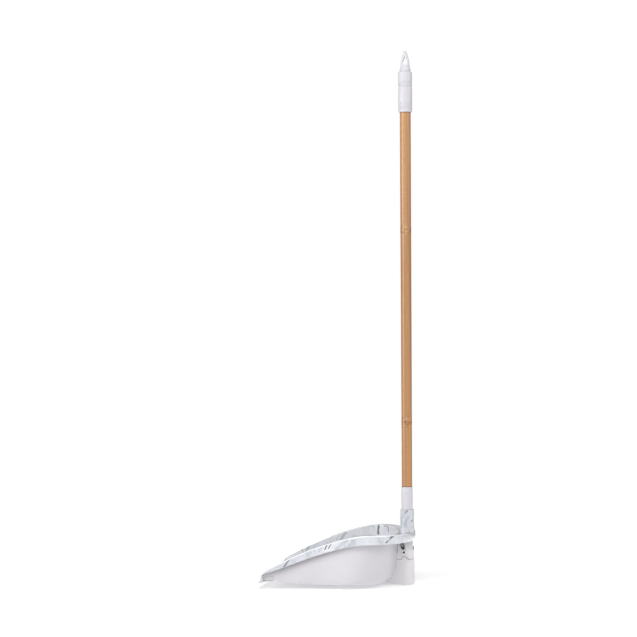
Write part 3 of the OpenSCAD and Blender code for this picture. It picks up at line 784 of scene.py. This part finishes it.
def metal(name, base, rough, brushed=(1, 1, 1), stain_and_shade=0.2):
    """Plain metal with fine tool lines and a slightly uneven surface."""
    s = Shader(name)
    lines = s.noise(900, 3, 0.6, source=s.stretched(brushed))
    bloom = s.noise(220, 3, 0.6)
    dull = tuple(c * (1 - stain_and_shade) for c in base[:3]) + (1.0,)
    tone = s.blend(s.between(bloom, 0.35, 0.7), base, dull)
    gloss = s.between(lines, 0.3, 0.7, rough - 0.06, rough + 0.1)
    return s.set(Base_Color=tone, Metallic=1.0, Roughness=gloss,
                 Normal=s.bump(lines, 0.12, 0.04))


def soft_rubber(name, base):
    """Thermoplastic rubber: dull, a little dirty along its working edge."""
    s = Shader(name)
    x = s.part("X")
    smear = s.noise(90, 4, 0.65, source=s.stretched((1.0, 0.3, 1.0)))
    edge = s.between(x, X_MOUTH * MM, LIP_LOW.x * MM)
    dirt = s.math("MULTIPLY", edge, s.between(smear, 0.4, 0.7))
    tone = s.tint(base, dirt, 0.22, LIP_DIRT)
    grain = s.noise(1200, 3, 0.7)
    gloss = s.between(smear, 0.3, 0.7, 0.52, 0.64)
    return s.set(Base_Color=tone, Roughness=gloss, Normal=s.bump(grain, 0.15, 0.06))


# ---------------------------------------------------------------- scoop

ARC_STEPS = 14
WALL_STEPS = 8
FLOOR_STEPS = 40
SHELL_END = 0.985
FLANGE_STOPS = (0, 5, 10, 15, 20, 21, 22, 23, 24)


def corner_radius(s):
    """Radius of the corner between wall and floor."""
    x = shell_xy(s, 0)[0]
    turn = max(0.0, s - STRAIGHT_SHARE) / (1 - STRAIGHT_SHARE)
    front = mix(CORNER_MOUTH, CORNER_SIDE, smooth((x - X_MOUTH) / FRONT_EASE))
    return front + (CORNER_BACK - CORNER_SIDE) * math.sin(math.pi / 2 * turn) ** 2


def wall_column(s, side, deep):
    """One side of a cross-section, from the rim down to the floor's edge."""
    r = corner_radius(s)
    foot = shell_xy(s, DRAFT + r)
    bottom = floor_z(*foot)
    top = deck_z(s) - RIM_PLATE - 0.9
    turn_z = bottom + r
    column = []
    for k in range(WALL_STEPS):
        t = k / WALL_STEPS
        x, y = shell_xy(s, deep + DRAFT * t ** 2.4)
        column.append((x, side * y, mix(top, turn_z, t)))
    for k in range(ARC_STEPS + 1):
        f = math.pi / 2 * k / ARC_STEPS
        x, y = shell_xy(s, DRAFT + r - (r - deep) * math.cos(f))
        column.append((x, side * y, turn_z - (r - deep) * math.sin(f)))
    return column


def shell_row(s, deep):
    """A whole cross-section, rim to floor to rim."""
    left = wall_column(s, -1, deep)
    right = wall_column(s, 1, deep)
    x, half, _ = right[-1]
    floor = []
    for q in range(1, FLOOR_STEPS):
        y = half * (2 * q / FLOOR_STEPS - 1)
        floor.append((x, y, floor_z(x, y) + deep))
    return left + floor + right[::-1]


def scoop_shade_amount(x, y, z):
    """Painted shade below the skirt, most of it near the mouth, and in front of the housing."""
    skirt_low = rim_z(x) - skirt_height(x)
    under_rim = smooth(1 - (skirt_low - z) / 16) * (1 - smooth((x + 20) / 80))
    return max(under_rim, 0.5 * smooth((x - X_SHELL_BACK + 14) / 12))


def make_scoop():
    """The thin white scoop: cross-sections from the mouth to the back, inside and outside."""
    front = [STRAIGHT_SHARE * x / (X_BEND - X_MOUTH) for x in FLANGE_STOPS]
    side = [mix(front[-1], STRAIGHT_SHARE, k / 24) for k in range(1, 25)]
    back = [mix(STRAIGHT_SHARE, SHELL_END, k / 48) for k in range(1, 49)]
    loops = []
    for s in front + side + back:
        outer = shell_row(s, 0)
        inner = shell_row(s, WALL)
        loops.append(outer + inner[::-1])
    points, faces = loft(loops, close_ends=False)
    n = len(loops[0]) // 2
    last = (len(loops) - 1) * 2 * n
    column = WALL_STEPS + ARC_STEPS + 1
    for j in range(n - 1):
        faces.append((j, j + 1, 2 * n - 2 - j, 2 * n - 1 - j))
    # the back closes the last row, outside and inside
    for base, step in ((last, 1), (last + 2 * n - 1, -1)):
        for k in range(column - 1):
            a = base + step * k
            c = base + step * (n - 1 - k)
            faces.append((a, a + step, c - step, c))
        faces.append(tuple(base + step * j for j in range(column - 1, n - column + 1)))
    faces.append((last, last + n - 1, last + n, last + 2 * n - 1))
    scoop = new_object("scoop", points, faces)
    round_edges(scoop, 0.45, 60.0)
    shade(scoop)
    # painted shade under the rim and in front of the housing
    mark_painted_shade(scoop, scoop_shade_amount)
    return scoop


# ---------------------------------------------------------------- rim

RIM_RADII = (0.5, 1.0, 1.0, 0.6, 0.8, 1.5, 0.5, 0.4, 0.2, 0.2, 0.4)
RIM_END_RADII = (0.8, 1.0, 1.0, 0.5, 0.5, 1.5, 0.8)
RIM_END_DEPTH = 2.0
SLOT_HALF = 10.2
SLOT_LENGTH = 20.0
APRON_HALF = 13.2
APRON_LENGTH = 30.0
CUT_LOW_Z = 60.0
CUT_HIGH_Z = 110.0


def rim_corners(s, side):
    """The rim's upside-down channel; its web becomes the deck at the back."""
    x = rim_xy(s, 0)[0]
    edge = rim_z(x)
    deck = deck_z(s)
    h = skirt_height(x)
    low_in = deck - mix(1.1, 1.35, smooth((x - X_MOUTH) / 80)) * h
    web = deck - RIM_PLATE
    slant = min(2.4, 0.5 * h)
    # up the outer skirt, over the bead, in across the deck, and back underneath
    corners = [
        (rim_xy(s, 0), edge - h), (rim_xy(s, 0), edge - slant), (rim_xy(s, 1.3), edge),
        (rim_xy(s, 2.4), edge), (rim_xy(s, 3.0), deck), (shell_xy(s, 4.4), deck),
        (shell_xy(s, 4.4), low_in), (shell_xy(s, WALL + 0.6), low_in),
        (shell_xy(s, WALL + 0.6), web), (rim_xy(s, RIM_WALL), web), (rim_xy(s, RIM_WALL), edge - h),
    ]
    return [Vector((x, side * y, z)) for (x, y), z in corners]


def rim_end(side):
    """The rounded end that closes the channel at the mouth."""
    corners = rim_corners(0.0, side)[:7]
    section = fillet(corners, RIM_END_RADII)
    centre = sum(section, Vector()) / len(section)
    loops = [[p + Vector((1.6, 0, 0)) for p in section]]
    for k in range(7):
        t = math.pi / 2 * k / 6 * 0.94
        shrink = 1 - 0.42 * (1 - math.cos(t))
        shift = Vector((-RIM_END_DEPTH * math.sin(t), 0, 0))
        loops.append([centre + (p - centre) * shrink + shift for p in section])
    obj = new_object("rim_end", *loft(loops))
    edit(obj, close_up)
    return obj


def make_rim():
    """The marble rim round the scoop's edge, with the slots that the socket moves in."""
    half = [STRAIGHT_SHARE * (k / 44) ** 1.5 for k in range(45)]
    half += [mix(STRAIGHT_SHARE, 1.0, k / 72) for k in range(1, 73)]
    loops = [fillet(rim_corners(s, 1), RIM_RADII) for s in half]
    loops += [fillet(rim_corners(s, -1), RIM_RADII) for s in half[-2::-1]]
    rim = new_object("marble_rim", *loft(loops))
    edit(rim, close_up)
    for side in (-1, 1):
        boolean(rim, rim_end(side), "UNION")
    for start, length, half_width in (
        (BRACKET_LOW.x + 2.4, SLOT_LENGTH, SLOT_HALF),
        (PIN_X - 1, APRON_LENGTH, APRON_HALF),
    ):
        low = (start, -half_width, CUT_LOW_Z)
        high = (start + length, half_width, CUT_HIGH_Z)
        boolean(rim, box_object("cutter", low, high), "DIFFERENCE")
    round_edges(rim, 0.45, 55.0)
    shade(rim, 50.0)
    return rim


# ---------------------------------------------------------------- lip

NOSE_RADII = (0.3, 0.3, 0.4, 0.1, 0.1, 1.0, 2.0, 2.0)
JAW_RADII = (0.1, 0.5, 0.1, 0.1, 0.1, 0.3, 0.6, 0.1, 0.1)
CAP_RADII = (0.2, 0.3, 0.8, 1.2, 1.5, 0.6)
CAP_LENGTH = 6.0
CAP_TAPER = 0.6
LIP_STATIONS = 40


def lip_part(section, radii, half, wavy):
    """One length of the lip, extruded across the mouth, with a faint wave along its thin edge."""
    loops = []
    for k in range(-LIP_STATIONS, LIP_STATIONS + 1):
        y = half * math.sin(math.pi / 2 * k / LIP_STATIONS)
        wave = 0.12 * math.sin(y * 0.21) + 0.08 * math.sin(y * 0.57 + 1)
        corners = []
        for x, z in section:
            forward = max(0.0, (X_MOUTH - 1 - x) / (X_MOUTH - 1 - LIP_LOW.x))
            corners.append(Vector((x, y, z + wavy * wave * forward ** 2)))
        loops.append(fillet(corners, radii, 3))
    return new_object("soft_lip", *loft(loops))


def make_lip():
    """The soft wedge across the mouth: a nose in front, jaws that hold the flange, end caps."""
    under = FLOOR_MOUTH_Z - 0.05
    over = FLOOR_MOUTH_Z + WALL + 0.3
    x_tip = LIP_LOW.x
    # cross-sections as (x, z); chin, notch and brow are where two parts meet
    chin = (X_MOUTH - 3.6, 12.6)
    notch = (X_MOUTH - 1.2, 16.6)
    brow = (X_MOUTH - 0.6, over + 1.2)
    jaws = [
        (X_MOUTH - 1.2, 12), (X_FLANGE - 1.2, 14.0), (X_FLANGE - 1.2, under),
        (X_MOUTH - 0.4, under), (X_MOUTH - 0.4, over), (X_MOUTH + 8, over),
        (X_MOUTH + 7, over + 0.9), brow, notch,
    ]
    nose = [
        (x_tip, 11.0), (x_tip + 0.9, 10.9), (X_MOUTH - 0.4, 11.4), (X_MOUTH - 0.4, over + 1.2),
        brow, notch, (X_MOUTH - 2.0, 14.2), chin,
    ]
    top = LIP_HIGH.z - 3.6
    cap = [
        (X_MOUTH + 1.2, 11.4), (X_MOUTH + 1.2, top), (X_MOUTH - 1.6, top - 0.3),
        (X_MOUTH - 2.4, top - 2), (X_MOUTH - 2.7, 15), chin,
    ]
    lip = lip_part(nose, NOSE_RADII, LIP_HIGH.y, 1.0)
    jaw_half = HALF_WIDTH - SHELL_INSET - DRAFT - CORNER_MOUTH - 0.5
    parts = [lip_part(jaws, JAW_RADII, jaw_half, 0.0)]
    for side in (-1, 1):
        loops = []
        for inset, dx, dz in ((0.0, 0.3, -0.25), (CAP_TAPER, 0.0, 0.0), (CAP_LENGTH, 0.0, 0.0)):
            y = side * (LIP_HIGH.y - inset)
            corners = [Vector((x + dx, y, z + dz)) for x, z in cap]
            loops.append(fillet(corners, CAP_RADII, 3))
        parts.append(new_object("lip_cap", *loft(loops)))
    edit(lip, close_up)
    for part in parts:
        edit(part, close_up)
        boolean(lip, part, "UNION")
    round_edges(lip, 0.3, 60.0)
    shade(lip)
    return lip


# ---------------------------------------------------------------- springs

COIL_STEPS = 260
FIXED_LEG = 9.0
PAST_PEG = 2.6
PEG_GAP = 0.12
WIRE_GAP = 0.05


def make_spring(name, side):
    """A torsion spring: fixed leg outside, coil round the bush, free leg behind the peg."""
    to_peg = Vector((PEG_X - PIN_X, PEG_Z - PIN_Z))
    lean = math.acos((COIL_R - PEG_R - WIRE_D / 2 - PEG_GAP) / to_peg.length)
    free = math.atan2(to_peg.y, to_peg.x) - lean
    turns = 2 * math.pi * COIL_TURNS
    width = (WIRE_D + WIRE_GAP) * COIL_TURNS

    def coil(angle, y):
        """A place on the coil."""
        return Vector((PIN_X + COIL_R * math.cos(angle), y, PIN_Z + COIL_R * math.sin(angle)))

    def tangent(angle):
        """The wire's direction there."""
        return Vector((-math.sin(angle), 0, math.cos(angle)))

    path = []
    for i in range(COIL_STEPS + 1):
        f = i / COIL_STEPS
        path.append(coil(free - turns * (1 - f), side * (COIL_OUTER_Y - width * f)))
    start, end = path[0], path[-1]
    leg = to_peg.length * math.sin(lean) + PAST_PEG
    before = [start - tangent(free - turns) * FIXED_LEG * (1 - k / 10) for k in range(10)]
    after = [end + tangent(free) * leg * k / 12 for k in range(1, 13)]
    spring = tube(name, before + path + after, WIRE_D / 2)
    shade(spring, 60.0)
    return spring


# ---------------------------------------------------------------- pole

def cane_stations():
    """Heights along the cane, closer together at its nodes."""
    heights = {round(mix(CANE_FOOT_Z, CANE_TOP_Z, k / 150), 3) for k in range(151)}
    for node_z in CANE_NODES:
        heights |= {round(node_z + 0.25 * k, 3) for k in range(-40, 41)}
    return sorted(heights)


def cane_radius(z):
    """The cane's radius, with a double ridge and a groove at each node."""
    r = mix(CANE_R_LOW, CANE_R_HIGH, (z - CANE_FOOT_Z) / (CANE_TOP_Z - CANE_FOOT_Z))
    for node_z in CANE_NODES:
        d = z - node_z
        r += 0.2 * hump((d - 1.5) / 1.6) + 0.2 * hump((d + 1.6) / 1.4)
        r -= 0.2 * hump(d / 0.4) - 0.06 * hump((d + 6) / 4)
    return r


def cane_bend(angle, z):
    """A culm is never quite round: two shallow waves that turn slowly along it."""
    slow = z / 400
    return 0.07 * math.cos(2 * angle + slow) + 0.04 * math.cos(5 * angle - 2 * slow)


def make_cane():
    """The bamboo pole, with the thinner ends that go into the ferrule and the grip."""
    foot_r, top_r = 8.0, 8.4
    profile = [(foot_r, CANE_FOOT_Z - 30), (foot_r, CANE_FOOT_Z)]
    profile += [(cane_radius(z), z) for z in cane_stations()]
    profile += [(top_r, CANE_TOP_Z), (top_r, CANE_TOP_Z + 45)]
    cane = revolve("bamboo_cane", profile, POLE_X, 96, cane_bend)
    shade(cane)
    return cane


def make_grip():
    """The hand grip, with two zones of fine grooves and a rounded shoulder."""
    z0, z1 = CANE_TOP_Z, GRIP_HIGH.z - 1.0
    r = GRIP_HIGH.x - POLE_X
    bore = 8.75
    stem_bore = 4.95
    pitch = 2.0
    groove = [(-0.3, 0), (-0.05, 0.12), (0.15, 0.42), (0.35, 0.5), (0.55, 0.42), (0.75, 0.12),
              (1.0, 0)]
    shoulder = [(0.12, 3.4), (0.18, 2.0), (0.4, 1.1), (0.8, 0.45), (1.4, 0.1), (2.0, 0.0)]
    profile = [(bore, z0 + 4), (bore, z0 + 0.5), (bore + 0.5, z0), (r - 0.9, z0)]
    profile += [(r - 0.3, z0 + 0.25), (r, z0 + 0.9)]
    for zone in (0.07, 0.62):
        for i in range(6):
            z = z0 + zone * (z1 - z0) + pitch * i
            deep = 1.6 if i == 0 else 1.0
            for dz, dr in groove:
                profile.append((r - 0.05 - deep * dr - 0.06 * zone, z + deep * dz))
    profile += [(r - dr, z1 - dz) for dr, dz in shoulder]
    profile += [(stem_bore + 0.25, z1), (stem_bore, z1 - 0.3), (stem_bore, z1 - 3)]
    grip = revolve("hand_grip", profile, POLE_X)
    shade(grip, 60.0)
    return grip


def loop_half_width(t):
    """Half width of the hanging loop, from its base (t = 0) to its tip (t = 1)."""
    return 9.9 - 1.9 * smooth(t / 0.3) - 5.4 * max(0.0, (t - 0.3) / 0.7) ** 1.35


def loop_half_depth(t):
    """Half depth of the hanging loop, front to back."""
    return 9.9 - 5.3 * smooth(t / 0.5) - 1.1 * t


def teardrop_cutter():
    """The loop's hole: round below, with straight sides that meet in a point above."""
    low_z = LOOP_BASE_Z + 15.7
    radius = 4.4
    point_z = 9.9
    tip = (0.3, 9.6)
    past_level = 0.46
    ring = []
    for k in range(25):
        a = mix(math.pi - past_level, 2 * math.pi + past_level, k / 24)
        ring.append((radius * math.cos(a), radius * math.sin(a)))
    left, right = ring[0], ring[-1]
    for k in range(1, 14):
        ring.append((mix(right[0], tip[0], k / 14), mix(right[1], tip[1], k / 14)))
    ring.append((0.0, point_z))
    for k in range(13, 0, -1):
        ring.append((mix(left[0], -tip[0], k / 14), mix(left[1], tip[1], k / 14)))
    loops = [[(POLE_X + x, y, low_z + z) for x, z in ring] for y in (-15, 15)]
    cutter = new_object("cutter", *loft(loops))
    edit(cutter, close_up)
    return cutter


def make_loop():
    """The hanging loop: round where it sits on the grip, flat at its tip, with a teardrop hole."""
    base = LOOP_BASE_Z
    height = LOOP_HIGH.z - base
    stem_r = 4.9
    loops = []
    for k in range(49):
        t = 1 - (1 - k / 48) ** 1.3
        # the tip is rounded over, the foot is drawn in a little, and the section gets squarer
        crown = max(0.0, (t - 0.9) / 0.1)
        close = math.sqrt(max(0.0, 1 - crown ** 2)) * 0.97 + 0.03
        foot = 1 - 0.06 * (1 - smooth(t / 0.03))
        w = loop_half_width(t) * close * foot
        d = loop_half_depth(t) * close * foot
        power = mix(2.0, 2.6, smooth(t / 0.4))
        ring = []
        for j in range(72):
            a = 2 * math.pi * j / 72
            c, n = math.cos(a), math.sin(a)
            x = w * math.copysign(abs(c) ** (2 / power), c)
            y = d * math.copysign(abs(n) ** (2 / power), n)
            ring.append((POLE_X + x, y, base + height * t))
        loops.append(ring)
    loop = new_object("hanging_loop", *loft(loops))
    edit(loop, close_up)
    boolean(loop, teardrop_cutter(), "DIFFERENCE")
    round_edges(loop, 0.4, 50.0, 2)
    profile = [(stem_r - 0.6, base - 8.6), (stem_r, base - 8.0), (stem_r, base + 1)]
    stem = revolve("stem", profile, POLE_X, 48)
    edit(stem, close_up)
    boolean(loop, stem, "UNION")
    shade(loop, 50.0)
    return loop


# ---------------------------------------------------------------- putting it together

scoop_plastic = moulded_plastic("scoop plastic", colour(210, 208, 213), shade_painter=scoop_painted_shade)
housing_plastic = moulded_plastic("housing plastic", colour(225, 223, 226), 0.4, 0.08,
                                  shade_painter=housing_painted_shade)
fitting_plastic = moulded_plastic("fitting plastic", colour(230, 228, 234), 0.42, 0.06, 0.2)
ferrule_plastic = moulded_plastic("ferrule plastic", colour(214, 211, 218), 0.42, 0.06, 0.2)
marble = marble_print("marble film", VEINS)
socket_marble = marble_print("marble film on the socket", VEINS, COLLAR_TOP)
rubber = soft_rubber("soft rubber", colour(203, 201, 204))
cane_skin = bamboo("bamboo")
zinc = metal("zinc plate", (0.8, 0.81, 0.83, 1.0), 0.3)
# painted shade: the pin is coloured near-black so its end shows as the dark hollow at the hinge
pin_steel = metal("steel darkened as painted shade", (0.09, 0.09, 0.1, 1.0), 0.34, (1, 12, 1))
wire_steel = metal("oiled wire", (0.23, 0.23, 0.25, 1.0), 0.3, (1, 1, 1), 0.4)
acetal = moulded_plastic("acetal", (0.055, 0.058, 0.064, 1.0), 0.45, 0.1, 0.2)

place(make_scoop(), scoop_plastic, "pan", "pan_shell", "scoop")
place(make_rim(), marble, "pan", "rim_frame", "marble")
place(make_lip(), rubber, "pan", "front_lip", "lip")
for node, name in (("hinge_bracket", "upper_housing"), ("rear_foot", "lower_housing")):
    place(snug(refined(node, name, 0.6)), housing_plastic, "pan", node, "housing")
place_refined("bracket_screws", "deck_screws", 0.12, zinc, "pan", "screw")
place_refined("hinge_pin", "pivot_pin", 0.15, pin_steel, "pan", "steel")
place_refined("pin_retainers", "push_washers", 0.1, zinc, "pan", "screw")
place_refined("spring_bushes", "spools", 0.2, acetal, "pan", "bush")

for side, node in ((1, "spring_left"), (-1, "spring_right")):
    spring = make_spring("torsion_" + node, side)
    place(spring, wire_steel, None, node, "spring")
    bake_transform(spring)

place_refined("socket", "pole_socket", 0.4, socket_marble, "handle", "marble")
place_refined("ferrule", "threaded_ferrule", 0.3, ferrule_plastic, "handle", "pole_fittings")
place_refined("ferrule_nail", "nail", 0.12, zinc, "handle", "screw")
place(make_cane(), cane_skin, "handle", "cane", "bamboo")
place(make_grip(), fitting_plastic, "handle", "grip", "pole_fittings")
place(make_loop(), fitting_plastic, "loop", "hanger", "pole_fittings")
place_refined("hanger_screw", "loop_screw", 0.12, zinc, "loop", "screw")


# ---------------------------------------------------------------- floor, light and camera

FLOOR_RADIUS = 900.0
FLOOR_TOP_Z = -0.15
ROOM_LIGHT = 0.22
LIGHT_SIZE = 1.4

# the soft boxes: name, place and the height that it looks at (metres), and power
LIGHTS = [
    ("top front", (0.0, -1.6, 2.3), 0.1, 20),
    ("left", (-2.5, -1.6, 0.8), 0.1, 44),
    ("right", (2.2, -1.2, 1.9), 0.3, 19),
    ("low right", (2.6, -1.0, 0.8), 0.1, 7),
    ("front", (-0.8, -3.0, 0.8), 0.1, 5),
    ("top back", (0.3, 1.6, 2.2), 0.1, 18),
]


def make_floor():
    """A pale round floor."""
    around = [2 * math.pi * k / 96 for k in range(96)]
    rim = [(FLOOR_RADIUS * math.cos(a), FLOOR_RADIUS * math.sin(a)) for a in around]
    floor = new_object("floor", *loft([[(x, y, z) for x, y in rim] for z in (-8, FLOOR_TOP_Z)]))
    s = Shader("pale floor")
    tint = s.noise(1.5, 3, 0.5)
    tone = s.blend(s.between(tint, 0.3, 0.7), (0.93, 0.93, 0.93, 1), (0.95, 0.95, 0.95, 1))
    # the floor glows towards its rim and so runs into the white room without an edge
    away = s.vector("LENGTH", s.place)
    glow = s.blend(s.between(away, 0.2, 0.75), (0.3, 0.3, 0.3, 1), (1.0, 1.0, 1.0, 1))
    s.material.cycles.emission_sampling = "NONE"
    floor.data.materials.append(s.set(Base_Color=tone, Roughness=0.8,
                                      Emission_Color=glow, Emission_Strength=1.0))


def soft_light(name, place_m, target_z, power):
    """A round soft box that looks at the middle of the scene at the height target_z."""
    data = bpy.data.lights.new(name, "AREA")
    data.shape = "DISK"
    data.size = LIGHT_SIZE
    data.energy = power
    light = bpy.data.objects.new(name, data)
    bpy.context.scene.collection.objects.link(light)
    light.location = place_m
    look = Vector((0.0, 0.0, target_z)) - Vector(place_m)
    light.rotation_euler = look.to_track_quat("-Z", "Y").to_euler()


def make_camera():
    """Level, a little round to the back of side-on, and rolled by a hair like the photograph."""
    azimuth = math.radians(8.0)
    roll = math.radians(-0.27)
    distance = 4.18
    aim = Vector((-0.0376, 0.0, 0.462))
    back = Vector((math.sin(azimuth), -math.cos(azimuth), 0.0))
    right = Vector((math.cos(azimuth), math.sin(azimuth), 0.0))
    axes = Matrix((right, Vector((0, 0, 1)), back)).transposed()
    data = bpy.data.cameras.new("camera")
    data.lens = 135
    data.sensor_width = 36
    camera = bpy.data.objects.new("camera", data)
    bpy.context.scene.collection.objects.link(camera)
    camera.matrix_world = (
        Matrix.Translation(aim + back * distance)
        @ (axes @ Matrix.Rotation(roll, 3, "Z")).to_4x4()
    )
    bpy.context.scene.camera = camera


def make_room():
    """A white room: full white behind the object, a little dimmer as a source of light."""
    world = bpy.data.worlds.new("white room")
    world.use_nodes = True
    tree = world.node_tree
    path = tree.nodes.new("ShaderNodeLightPath")
    strength = tree.nodes.new("ShaderNodeMapRange")
    tree.links.new(path.outputs["Is Camera Ray"], strength.inputs["Value"])
    strength.inputs["To Min"].default_value = ROOM_LIGHT
    strength.inputs["To Max"].default_value = 1.0
    tree.links.new(strength.outputs[0], tree.nodes["Background"].inputs["Strength"])
    tree.nodes["Background"].inputs["Color"].default_value = (1, 1, 1, 1)
    bpy.context.scene.world = world


make_floor()
make_room()
for light in LIGHTS:
    soft_light(*light)
bpy.context.scene.view_settings.view_transform = "Standard"
make_camera()
